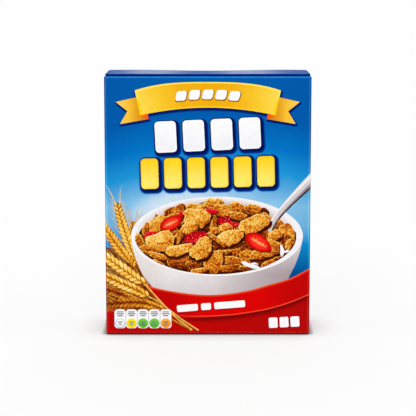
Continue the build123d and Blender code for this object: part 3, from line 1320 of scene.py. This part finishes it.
# A field of one ink, which drifts between two near colours: (colour, other, noise scale, gloss).
plain_inks = {
    "navy": ((0, 12, 74), (2, 22, 92), 0.2),
    "umber": ((130, 78, 8), (168, 104, 10), 0.2),
    "flake_shade": ((66, 18, 3), (126, 48, 9), 0.4),
    "gap": ((24, 3, 2), (74, 18, 4), 0.3),
    "spoon_edge": ((44, 26, 24), (66, 48, 46), 0.2),
    "husk": ((88, 28, 5), (140, 66, 16), 0.4),
    "label": ((247, 248, 249), (252, 252, 252), 0.2),
    "small_print": ((120, 124, 134), (96, 100, 112), 0.2),
    "hairline": ((186, 190, 198), (170, 175, 184), 0.2),
    "raw_edge": ((150, 152, 158), (176, 174, 168), 1.5),
    # cut edges and the flaps seen in the slit: navy, partly ink and partly painted shade of the slit
    "slit_shade_navy": ((0, 42, 108), (0, 52, 122), 0.2),
    # the top flap's free-edge band: dark navy without gloss, as painted shade
    "flap_shade_strip": ((0, 44, 124), (4, 56, 138), 0.1, 0.0),
    "base_print": ((168, 6, 8), (184, 8, 8), 0.08),
    "base_edge": ((120, 8, 10), (140, 20, 20), 0.6),
}

# A block's face or rim: (colour below, colour above, colour at the lower right).
face_inks = {
    "white": ((241, 241, 245), (249, 249, 251), (238, 237, 242)),
    "white_rim": ((250, 250, 252), (252, 252, 253), (246, 246, 250)),
    "yellow": ((254, 234, 112), (255, 212, 30), (255, 222, 70)),
    "yellow_rim": ((255, 226, 70), (255, 200, 0), (255, 205, 10)),
    "title_rim": ((247, 247, 249), (253, 253, 253), (244, 243, 246)),
    "milk": ((240, 238, 240), (252, 251, 250), (238, 236, 240)),
    "tab_grey": ((176, 196, 206), (206, 220, 226), (186, 202, 210)),
    "tab_yellow": ((240, 214, 0), (252, 232, 30), (236, 206, 0)),
    "tab_green": ((76, 178, 34), (120, 206, 62), (70, 168, 30)),
    "tab_orange": ((240, 140, 22), (252, 176, 50), (236, 132, 18)),
}

# A tail is dark where it passes behind the band. Steel has a dark band below a bright one.
tail_stops = [(0.0, (205, 130, 20)), (0.3, (228, 160, 32)), (0.65, (246, 190, 50)), (1.0, (250, 206, 82))]
steel_stops = [(0.0, (96, 78, 80)), (0.2, (168, 154, 158)), (0.42, (224, 217, 220))]
steel_stops += [(0.56, (194, 184, 188)), (0.74, (246, 242, 241)), (1.0, (224, 217, 217))]

# Colours that run along a field (0) or up it (1), from a first place to a last: (0 or 1, first,
# last, stops, gloss).
ramp_inks = {
    "ribbon_edge": (1, -1, 1, [(0.0, (255, 213, 20)), (0.5, (254, 206, 8)), (1.0, (255, 231, 96))]),
    "ribbon_tail": (0, -1, 1, tail_stops),
    "ribbon_fold": (0, -1.2, -0.4, [(0.0, (236, 72, 12)), (1.0, (244, 120, 26))]),
    "rim": (0, -1, 1, [(0.0, (244, 243, 243)), (0.5, (250, 249, 250)), (1.0, (241, 239, 241))]),
    "spoon": (1, -1, 1, steel_stops, 0.3),
    "red_shade": (1, -1, 1, [(0.0, (183, 5, 5)), (0.5, (148, 5, 5)), (1.0, (104, 4, 4))]),
}


def plain_ink(ink, colour, other, scale, gloss=0.02):
    """A field of one ink, which drifts between two near colours."""
    return ink.finish(ink.mix(ink.drift(scale), rgb(*colour), rgb(*other)), gloss)


def face_ink(ink, low, high, corner):
    """One colour running up into another, with a third towards the lower right."""
    u, v, _ = ink.attribute("art")
    colour = ink.ramp(ink.between(v, -1, 1), [(0.0, low), (1.0, high)])
    turn = ink.between(ink.sum(ink.times(u, 0.5), ink.times(v, -0.5)), 0.2, 1.0, 0.0, 0.5)
    return ink.finish(ink.mix(turn, colour, rgb(*corner)))


def ramp_ink(ink, part, first, last, stops, gloss=0.02):
    """Colours that run with one part of the point's place in its field, from first to last."""
    return ink.finish(ink.ramp(ink.between(ink.attribute("art")[part], first, last), stops), gloss)


# ---------------------------------------------------------------- inks of their own

# The sky's colours by height: deep blue at the top, palest behind the bowl, deep below it.
sky_stops = [
    (20, (0, 45, 110)),
    (50, (0, 75, 140)),
    (75, (10, 140, 205)),
    (90, (105, 180, 225)),
    (110, (125, 190, 230)),
    (135, (30, 150, 215)),
    (155, (0, 115, 195)),
    (180, (0, 90, 170)),
]
flake_stops = [
    (0.0, (68, 12, 2)),
    (0.18, (142, 46, 6)),
    (0.38, (204, 101, 15)),
    (0.58, (234, 155, 40)),
    (0.78, (246, 194, 82)),
    (1.0, (254, 224, 138)),
]
kernel_stops = [
    (0.0, (91, 24, 3)),
    (0.2, (150, 62, 8)),
    (0.4, (207, 124, 22)),
    (0.6, (238, 168, 44)),
    (0.8, (250, 209, 100)),
    (1.0, (254, 236, 172)),
]


def sky(ink):
    """The sky, with the glow behind the bowl and the soft shadows of what stands before it."""
    z = ink.parts(ink.place)[2]
    glow, dark, _ = ink.attribute("tint")
    off_middle = ink.math("ABSOLUTE", ink.attribute("art")[0])
    side = ink.times(ink.math("POWER", off_middle, 2.5), 11.0)
    level = ink.sum(z, ink.times(side, ink.between(z, 92, 122)), ink.drift(0.02, 2, -2.0, 2.0))
    stops = [(height / carton_height, colour) for height, colour in sky_stops]
    colour = ink.ramp(ink.math("DIVIDE", level, carton_height), stops)
    colour = ink.mix(ink.times(ink.between(off_middle, 0.55, 1.0), 0.08), colour, rgb(0, 40, 110))
    cloud = ink.math("MULTIPLY", glow, ink.drift(0.05, 4, 0.75, 1.15), True)
    colour = ink.mix(cloud, colour, rgb(222, 234, 244))
    shades = [(0.0, (40, 140, 214)), (0.35, (4, 96, 184)), (0.75, (0, 40, 122)), (1.0, (0, 18, 90))]
    shadow = ink.mix(1.0, colour, ink.ramp(dark, shades), "DARKEN")
    return ink.finish(ink.mix(ink.between(dark, 0.0, 0.5), colour, shadow))


def ribbon_face(ink):
    """The ribbon's face: gold in its middle, pale yellow at its ends."""
    u, v, _ = ink.attribute("art")
    off_middle = ink.math("ABSOLUTE", ink.sum(u, ink.times(v, 0.03)))
    stops = [(0.0, (241, 172, 14)), (0.38, (243, 178, 20)), (0.68, (247, 200, 45)), (0.95, (252, 217, 78))]
    sheen = ink.times(ink.between(v, 0.1, 0.9), 0.12)
    return ink.finish(ink.mix(sheen, ink.ramp(off_middle, stops), rgb(240, 160, 0)))


def bowl(ink):
    """The bowl's outside: white china, in shade towards its lower right."""
    u, v, _ = ink.attribute("art")
    stops = [(0.0, (222, 214, 208)), (0.12, (234, 230, 229)), (0.45, (228, 222, 224)), (1.0, (165, 150, 155))]
    across = ink.ramp(ink.between(u, -1, 1), stops)
    china = ink.mix(ink.times(ink.between(v, -0.6, 0.75), 0.55), across, rgb(243, 241, 242))
    return ink.finish(ink.mix(ink.times(ink.between(v, -0.3, -1.3), 0.35), china, rgb(172, 158, 160)))


def bowl_wall(ink):
    """The inner wall: pale, and warm near the flakes."""
    u, v, _ = ink.attribute("art")
    stops = [(0.0, (190, 150, 120)), (0.82, (205, 180, 165)), (0.93, (229, 220, 219)), (1.0, (241, 240, 242))]
    return ink.finish(ink.ramp(ink.away(u, v), stops))


def flake(ink, lift=0.10):
    """A toasted flake: crinkled, specked with bran, lit from the upper left."""
    u, v, tone = ink.attribute("art")
    bend = ink.math("SINE", ink.sum(ink.times(u, 2.6), ink.times(tone, 9.0)))
    crease_shade = ink.math("ABSOLUTE", ink.sum(v, ink.times(bend, 0.3)))
    dish = ink.between(ink.away(u, v), 0.35, 1.0, 0.0, -0.08)
    light = ink.sum(
        ink.between(ink.noise(0.75, 2, 0.6), 0.34, 0.66, -0.2, 0.2),
        ink.between(ink.cells(0.8), 0.05, 0.7, 0.11, -0.15),
        ink.between(ink.noise(0.15, 2, 0.5), 0.34, 0.66, -0.1, 0.1),
        ink.sum(ink.times(v, 0.13), ink.times(u, -0.08)),
        ink.sum(dish, ink.between(crease_shade, 0.0, 0.22, -0.14, 0.0)),
        ink.times(tone, 0.85),
        lift,
    )
    speck = ink.times(ink.between(ink.noise(1.1, 2), 0.60, 0.70), 0.45)
    return ink.finish(ink.mix(speck, ink.ramp(light, flake_stops), rgb(120, 52, 12)))


def flake_rim(ink):
    """A flake's pale edge."""
    return flake(ink, 0.34)


def berry_slice(ink):
    """A sliced berry: red at its skin, streaked flesh within, and a pale ragged core."""
    u, v, _ = ink.attribute("art")
    reach = ink.away(u, v)
    stops = [(0.0, (252, 92, 44)), (0.35, (244, 50, 24)), (0.7, (232, 14, 8)), (1.0, (186, 2, 6))]
    angle = ink.times(ink.math("ARCTAN2", v, u), 16.0)
    streak = ink.math("SINE", ink.sum(angle, ink.times(ink.noise(0.3, 2), 9.0)))
    band = ink.times(ink.between(reach, 0.25, 0.5), ink.between(reach, 0.85, 0.6))
    streaked = ink.times(ink.between(streak, -0.2, 1.0, 0.0, 0.2), band)
    flesh = ink.mix(streaked, ink.ramp(reach, stops), rgb(255, 134, 84))
    core = ink.away(ink.math("DIVIDE", u, 0.6), ink.math("DIVIDE", v, 0.17))
    ragged = ink.sum(core, ink.drift(0.7, 3, -0.5, 0.5))
    return ink.finish(ink.mix(ink.between(ragged, 0.5, 1.2, 0.85, 0.0), flesh, rgb(255, 178, 118)))


def berry_skin(ink):
    """A berry's skin: deep red, with small pale seeds and a lit upper side."""
    u, v, tone = ink.attribute("art")
    light = ink.sum(ink.times(v, 0.26), ink.times(u, -0.1), ink.times(tone, 0.5), ink.drift(0.4, 3, 0.0, 0.3))
    stops = [(0.0, (138, 0, 8)), (0.35, (200, 4, 20)), (0.65, (230, 20, 34)), (1.0, (246, 92, 88))]
    seed = ink.times(ink.between(ink.cells(0.5), 0.2, 0.1), 0.8)
    return ink.finish(ink.mix(seed, ink.ramp(light, stops), rgb(252, 206, 160)))


def kernel_skin(ink):
    """A kernel: plump and pale along its lit side, brown at its base and along its edges."""
    u, v, tone = ink.attribute("art")
    light = ink.sum(
        ink.times(v, 0.16),
        ink.times(ink.times(v, v), -0.42),
        ink.between(u, -1.0, 0.1, -0.3, 0.06),
        ink.times(tone, 0.75),
        ink.drift(0.7, 3, 0.16, 0.36),
    )
    return ink.finish(ink.ramp(light, kernel_stops))


def straw(ink):
    """Awns and stalks: straw gold."""
    _, v, tone = ink.attribute("art")
    light = ink.sum(ink.times(v, 0.2), tone, ink.drift(0.3, 2, -0.15, 0.15))
    return ink.finish(ink.ramp(light, [(0.0, (146, 74, 16)), (0.5, (226, 160, 50)), (1.0, (252, 224, 140))]))


def red(ink):
    """The red band: bright above its lower line, and deeper below it and at the left."""
    u, _, tone = ink.attribute("art")
    across = ink.between(u, -1, 1)
    stops = [(0.0, (184, 5, 6)), (0.25, (193, 2, 4)), (0.45, (219, 1, 1))]
    bright = ink.ramp(across, stops + [(0.85, (218, 3, 2)), (1.0, (190, 4, 4))])
    deep = ink.ramp(across, [(0.0, (182, 6, 6)), (0.5, (190, 4, 5)), (1.0, (178, 7, 7))])
    return ink.finish(ink.mix(tone, deep, bright))


def red_line(ink):
    """The bright line along the band's edges."""
    _, v, tone = ink.attribute("art")
    colour = ink.mix(tone, rgb(238, 84, 40), rgb(240, 78, 46))
    return ink.finish(ink.mix(ink.between(v, -1.0, 0.6), rgb(214, 6, 5), colour))


def flap_print(ink):
    """The top flap: the sky's deep blue, rubbed glossy over the flaps below, with painted sheen there."""
    crest = ink.attribute("tint")[0]
    along = [(0, ink.place), (1, (0.03, 0.34, 0.1))]  # drawn out from left to right
    stretched = ink.add("ShaderNodeVectorMath", along, operation="MULTIPLY").outputs[0]
    sheen_streaks = ink.add("ShaderNodeTexNoise", [("Vector", stretched), ("Scale", 1.0), ("Detail", 4.0)])
    # pale streaks over the crests: painted sheen, with scuffs
    rub_and_sheen = ink.times(ink.between(sheen_streaks.outputs["Fac"], 0.36, 0.64, 0.2, 1.0), crest)
    blue = ink.mix(ink.drift(0.05), rgb(5, 68, 140), rgb(10, 76, 150))
    shine = ink.between(crest, 0.0, 1.0, 0.56, 0.3)
    return ink.finish(ink.mix(ink.times(rub_and_sheen, 0.12), blue, rgb(225, 230, 240)), 0.018, shine)


own_inks = {
    "sky": sky,
    "ribbon": ribbon_face,
    "bowl": bowl,
    "bowl_wall": bowl_wall,
    "flake": flake,
    "flake_rim": flake_rim,
    "berry_slice": berry_slice,
    "berry_skin": berry_skin,
    "kernel": kernel_skin,
    "awn": straw,
    "red": red,
    "red_line": red_line,
    "flap_print": flap_print,
}


def all_inks():
    """Every material, by name."""
    made = {name: paint(Ink(name)) for name, paint in own_inks.items()}
    for paint, rows in ((plain_ink, plain_inks), (face_ink, face_inks), (ramp_ink, ramp_inks)):
        for name, row in rows.items():
            made[name] = paint(Ink(name), *row)
    return made


# ---------------------------------------------------------------- building the carton


def hand_over(piece):
    """Makes a piece ride with the carton, and stand for its CAD solid."""
    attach(piece, "root")
    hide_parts("carton")


inks = all_inks()
top_inks = (inks["flap_print"], inks["slit_shade_navy"], inks["flap_shade_strip"])
base_inks = (inks["base_print"], inks["base_edge"], inks["base_print"])

hand_over(printed_sheet(front, front_print(), front_casters(), inks, 4.0))
hand_over(printed_sheet(right, right_print(), [], inks, 5.0))
hand_over(printed_sheet(back, back_print(), back_casters(), inks, 5.0))
hand_over(printed_sheet(left, left_print(), [], inks, 5.0))
hand_over(outer_flap("top_flap", carton_height, 1, top_slit, hinge_sink, hinge_droop, top_inks))
hand_over(outer_flap("base_flap", 0.0, -1, base_slit, 0.0, 0.0, base_inks))
hand_over(inner_flaps(inks["slit_shade_navy"]))

# ---------------------------------------------------------------- the studio

backdrop_white = 0.991
world_strength = 0.55
floor_reach = 6.0  # in metres, each way
floor_bounce = 0.5  # the grey that lights the carton from below
floor_white = 0.85
shadow_share = 0.25
contact_shadows = ((0.03, 0.45), (0.005, 3.0))  # each one's reach in metres and its power

camera_pitch = math.radians(8.82)
camera_distance = 1.3404
camera_aim = Vector((0.00016, 0.0, 0.0995))


def floor():
    """A plain white floor, which keeps the carton's shadow, with a painted contact shadow at its foot."""
    material = bpy.data.materials.new("floor")
    nodes = Nodes(material)
    seen = nodes.seen_directly()
    # painted contact shadow: ambient occlusion dims the glowing white near the carton
    painted_contact_shadow = 1.0
    for reach, power in contact_shadows:
        near = nodes.add("ShaderNodeAmbientOcclusion", [("Distance", reach)])
        painted_contact_shadow = nodes.times(painted_contact_shadow, nodes.math("POWER", near.outputs["AO"], power))
    white = nodes.add("ShaderNodeEmission", [("Strength", nodes.times(painted_contact_shadow, backdrop_white))])
    lit, dull = (
        nodes.add("ShaderNodeBsdfDiffuse", [("Color", (grey, grey, grey, 1))])
        for grey in (floor_white, floor_bounce)
    )
    shown = nodes.add("ShaderNodeMixShader", [(0, shadow_share), (1, white.outputs[0]), (2, lit.outputs[0])])
    choice = nodes.add("ShaderNodeMixShader", [(0, seen), (1, dull.outputs[0]), (2, shown.outputs[0])])
    nodes.add("ShaderNodeOutputMaterial", [("Surface", choice.outputs[0])])
    mesh = bpy.data.meshes.new("floor")
    corners = [(x * floor_reach, y * floor_reach, 0) for x, y in ((-1, -1), (1, -1), (1, 1), (-1, 1))]
    mesh.from_pydata(corners, [], [(0, 1, 2, 3)])
    mesh.materials.append(material)
    in_scene("floor", mesh)


def world():
    """Even light all round. Seen directly it is the white backdrop."""
    made = bpy.data.worlds.new("studio")
    bpy.context.scene.world = made
    nodes = Nodes(made)
    light, backdrop = (
        nodes.add("ShaderNodeBackground", [("Color", (1, 1, 1, 1)), ("Strength", strength)]).outputs[0]
        for strength in (world_strength, backdrop_white)
    )
    choice = nodes.add("ShaderNodeMixShader", [(0, nodes.seen_directly()), (1, light), (2, backdrop)])
    nodes.add("ShaderNodeOutputWorld", [("Surface", choice.outputs[0])])


def sun(name, direction, strength, spread):
    """A broad, even lamp. It lights the floor the same everywhere."""
    data = bpy.data.lights.new(name, "SUN")
    data.energy = strength
    data.angle = math.radians(spread)
    in_scene(name, data).rotation_euler = Vector(direction).to_track_quat("-Z", "Y").to_euler()


def camera():
    """The photograph's view: a long lens, a little above the carton's middle."""
    data = bpy.data.cameras.new("camera")
    data.sensor_width = 36.0
    data.lens = 141.3
    piece = in_scene("camera", data)
    ahead = Vector((0, math.cos(camera_pitch), -math.sin(camera_pitch)))
    piece.location = camera_aim - ahead * camera_distance
    piece.rotation_euler = (quarter_turn - camera_pitch, 0, 0)
    bpy.context.scene.camera = piece


floor()
world()
sun("front_sun", (0.1, 1.0, -0.8), 1.65, 40)
sun("back_sun", (0.0, -1.0, -0.8), 0.7, 60)
sun("left_sun", (1.0, 0.3, -0.7), 0.4, 60)
sun("right_sun", (-1.0, 0.3, -0.7), 0.4, 60)
camera()
bpy.context.scene.view_settings.view_transform = "Standard"
